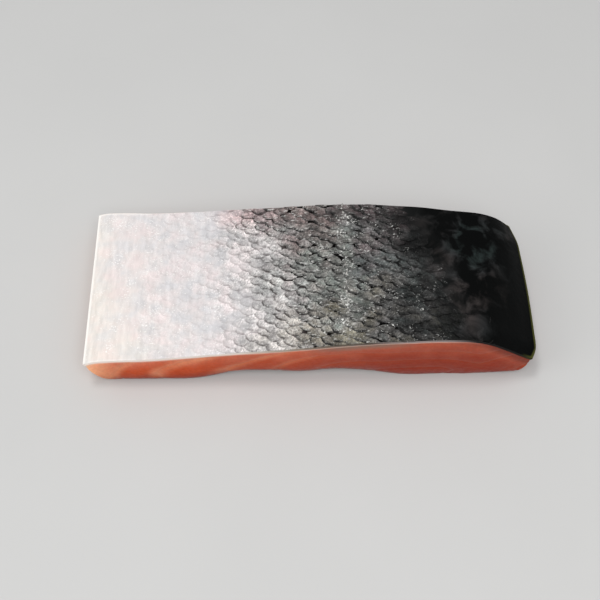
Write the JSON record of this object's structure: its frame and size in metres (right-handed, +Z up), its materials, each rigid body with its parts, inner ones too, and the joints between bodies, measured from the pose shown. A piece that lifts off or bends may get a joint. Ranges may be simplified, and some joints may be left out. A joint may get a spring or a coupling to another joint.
{
  "type": "raw salmon fillet",
  "caption": "Raw salmon fillet portion lying skin side up: a wedge of orange flesh under a scaled skin, pearl white at the belly edge, silver in the middle and black at the back edge.",
  "frame": {"origin": "middle of the underside of the whole portion's box, on the surface it lies on", "axes": "+X across the fish from belly edge to back edge, +Y from the tail-side cut to the head-side cut, +Z up through the skin"},
  "size_m": [0.1684, 0.072, 0.0258],
  "materials": {
    "flesh": "raw salmon flesh, moist satin, orange with pale bands between the muscle layers",
    "skin": "wet scaled fish skin, pearl white through silver grey to near black across its width"
  },
  "bodies": {
    "root": {"flesh": "flesh", "skin": "skin"}
  },
  "joints": []
}
